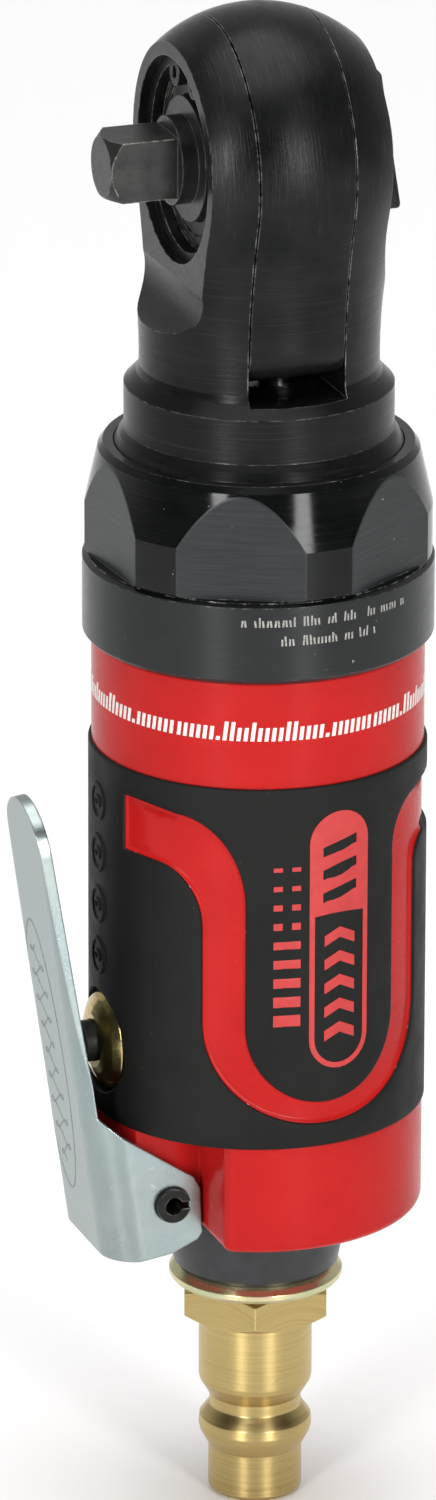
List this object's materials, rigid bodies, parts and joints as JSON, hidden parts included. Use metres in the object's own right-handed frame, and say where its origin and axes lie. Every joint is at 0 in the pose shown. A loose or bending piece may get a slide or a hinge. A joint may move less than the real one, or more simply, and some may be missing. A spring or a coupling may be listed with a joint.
{
  "type": "air ratchet",
  "caption": "Compact straight air ratchet with a 1/4 inch square drive, reversing knob, coupling nut, rubber-sleeved motor housing, squeeze lever and quick-coupling air plug.",
  "frame": {"origin": "centre of the air plug's open end face, on the body axis", "axes": "+Z along the body from the air plug to the ratchet head, -X along the square drive and towards the lever, -Y the printed side"},
  "size_m": [0.0446, 0.0364, 0.1636],
  "materials": {
    "black_steel": "black oxide, satin",
    "bright_steel": "ground",
    "gear_steel": "hardened, machined",
    "zinc_plate": "bright zinc plate",
    "yellow_zinc": "yellow passivated zinc",
    "red_paint": "gloss",
    "black_rubber": "matt",
    "brass": "turned",
    "black_plastic": "moulded",
    "vane_composite": "laminated",
    "cast_alloy": "machined",
    "sintered": "sintered"
  },
  "bodies": {
    "housing": {"ratchet_head": "black_steel", "circlip": "black_steel", "thrust_washer": "black_steel", "needle_cup": "bright_steel", "carrier_washer": "bright_steel", "ring_gear": "gear_steel", "cylinder": "gear_steel", "rear_plate": "gear_steel", "front_plate": "gear_steel", "motor_dowel": "bright_steel", "front_bearing_outer": "bright_steel", "rear_bearing_outer": "bright_steel", "motor_housing": "red_paint", "grip_sleeve": "black_rubber", "clamp_nut": "black_steel", "lever_pin": "black_steel", "valve_bushing": "brass", "valve_seat": "black_rubber", "valve_spring": "bright_steel", "inlet_bushing": "black_steel", "inlet_screen": "bright_steel", "exhaust_deflector": "black_plastic", "exhaust_muffler": "sintered", "sealing_washer": "yellow_zinc", "air_plug": "brass"},
    "rotor": {"rotor": "gear_steel", "front_bearing_inner": "bright_steel", "rear_bearing_inner": "bright_steel"},
    "crank": {"crankshaft": "gear_steel", "planet_pins": "bright_steel"},
    "planet_1": {"planet_gear_1": "gear_steel"},
    "planet_2": {"planet_gear_2": "gear_steel"},
    "planet_3": {"planet_gear_3": "gear_steel"},
    "bushing": {"drive_bushing": "bright_steel"},
    "needles": {"needle_rollers": "bright_steel"},
    "front_balls": {"front_bearing_balls": "bright_steel"},
    "rear_balls": {"rear_bearing_balls": "bright_steel"},
    "yoke": {"yoke": "black_steel"},
    "anvil": {"anvil": "black_steel", "pawl_pin": "bright_steel", "square_spring": "bright_steel"},
    "pawl": {"pawl": "gear_steel"},
    "knob": {"reverse_knob": "black_steel", "detent_spring": "bright_steel"},
    "plunger": {"detent_plunger": "bright_steel"},
    "ball": {"square_ball": "bright_steel"},
    "lever": {"lever": "zinc_plate"},
    "stem": {"valve_stem": "black_steel", "stem_seal": "black_rubber"},
    "vane_1": {"vane_1": "vane_composite"},
    "vane_2": {"vane_2": "vane_composite"},
    "vane_3": {"vane_3": "vane_composite"},
    "vane_4": {"vane_4": "vane_composite"},
    "vane_5": {"vane_5": "vane_composite"}
  },
  "joints": [
    {"name": "rotor_spin", "type": "hinge", "parent": "housing", "child": "rotor", "pos_m": [0, 0, 0.077], "axis": [0, 0, 1], "continuous": true},
    {"name": "crank_spin", "type": "hinge", "parent": "housing", "child": "crank", "pos_m": [0, 0, 0.11], "axis": [0, 0, 1], "continuous": true},
    {"name": "planet_1_spin", "type": "hinge", "parent": "crank", "child": "planet_1", "pos_m": [0.0072, 0, 0.0975], "axis": [0, 0, 1], "continuous": true},
    {"name": "planet_2_spin", "type": "hinge", "parent": "crank", "child": "planet_2", "pos_m": [-0.0036, 0.00624, 0.0975], "axis": [0, 0, 1], "continuous": true},
    {"name": "planet_3_spin", "type": "hinge", "parent": "crank", "child": "planet_3", "pos_m": [-0.0036, -0.00624, 0.0975], "axis": [0, 0, 1], "continuous": true},
    {"name": "bushing_turn", "type": "hinge", "parent": "crank", "child": "bushing", "pos_m": [0.00178, 0, 0.1278], "axis": [0, 0, 1], "continuous": true},
    {"name": "needles_roll", "type": "hinge", "parent": "housing", "child": "needles", "pos_m": [0, 0, 0.1135], "axis": [0, 0, 1], "continuous": true},
    {"name": "front_balls_roll", "type": "hinge", "parent": "housing", "child": "front_balls", "pos_m": [0, 0, 0.0911], "axis": [0, 0, 1], "continuous": true},
    {"name": "rear_balls_roll", "type": "hinge", "parent": "housing", "child": "rear_balls", "pos_m": [0, 0, 0.0629], "axis": [0, 0, 1], "continuous": true},
    {"name": "yoke_swing", "type": "hinge", "parent": "housing", "child": "yoke", "pos_m": [0, 0, 0.1482], "axis": [1, 0, 0], "range_deg": [-5, 5]},
    {"name": "anvil_spin", "type": "hinge", "parent": "housing", "child": "anvil", "pos_m": [0, 0, 0.1482], "axis": [1, 0, 0], "continuous": true},
    {"name": "reverse_turn", "type": "hinge", "parent": "anvil", "child": "knob", "pos_m": [0, 0, 0.1482], "axis": [1, 0, 0], "range_deg": [-20, 20]},
    {"name": "pawl_rock", "type": "hinge", "parent": "anvil", "child": "pawl", "pos_m": [0, 0, 0.1559], "axis": [1, 0, 0], "range_deg": [-5, 5]},
    {"name": "detent_press", "type": "slide", "parent": "knob", "child": "plunger", "axis": [0, 0, -1], "range_m": [0, 0.0004], "stiffness_N_per_m": 400, "springref_m": -0.001, "deforming": ["detent_spring"]},
    {"name": "ball_press", "type": "slide", "parent": "anvil", "child": "ball", "axis": [0, -1, 0], "range_m": [0, 0.0004], "stiffness_N_per_m": 400, "springref_m": -0.001, "deforming": ["square_spring"]},
    {"name": "lever_squeeze", "type": "hinge", "parent": "housing", "child": "lever", "pos_m": [-0.0124, 0, 0.0372], "axis": [0, 1, 0], "range_deg": [0, 9], "stiffness_Nm_per_rad": 0.4, "springref_deg": -14.32},
    {"name": "valve_press", "type": "slide", "parent": "housing", "child": "stem", "axis": [1, 0, 0], "range_m": [0, 0.0026], "deforming": ["valve_spring"]},
    {"name": "vane_1_slide", "type": "slide", "parent": "rotor", "child": "vane_1", "axis": [-1, 0, 0], "range_m": [-0.00098, 0]},
    {"name": "vane_2_slide", "type": "slide", "parent": "rotor", "child": "vane_2", "axis": [0.309, 0.9511, 0], "range_m": [0, 0.00068]},
    {"name": "vane_3_slide", "type": "slide", "parent": "rotor", "child": "vane_3", "axis": [0.809, -0.5878, 0], "range_m": [-0.00025, 0]},
    {"name": "vane_4_slide", "type": "slide", "parent": "rotor", "child": "vane_4", "axis": [0.809, 0.5878, 0], "range_m": [-0.00025, 0]},
    {"name": "vane_5_slide", "type": "slide", "parent": "rotor", "child": "vane_5", "axis": [-0.309, 0.9511, 0], "range_m": [-0.00125, 0]}
  ],
  "couplings": [
    {"joint": "crank_spin", "follows": "rotor_spin", "ratio": 0.25},
    {"joint": "planet_1_spin", "follows": "rotor_spin", "ratio": -0.75},
    {"joint": "planet_2_spin", "follows": "rotor_spin", "ratio": -0.75},
    {"joint": "planet_3_spin", "follows": "rotor_spin", "ratio": -0.75},
    {"joint": "bushing_turn", "follows": "rotor_spin", "ratio": -0.25},
    {"joint": "needles_roll", "follows": "rotor_spin", "ratio": 0.10549},
    {"joint": "front_balls_roll", "follows": "rotor_spin", "ratio": 0.40769},
    {"joint": "rear_balls_roll", "follows": "rotor_spin", "ratio": 0.375},
    {"joint": "pawl_rock", "follows": "reverse_turn", "ratio": 0.25},
    {"joint": "valve_press", "follows": "lever_squeeze", "m_per_rad": 0.016527}
  ]
}
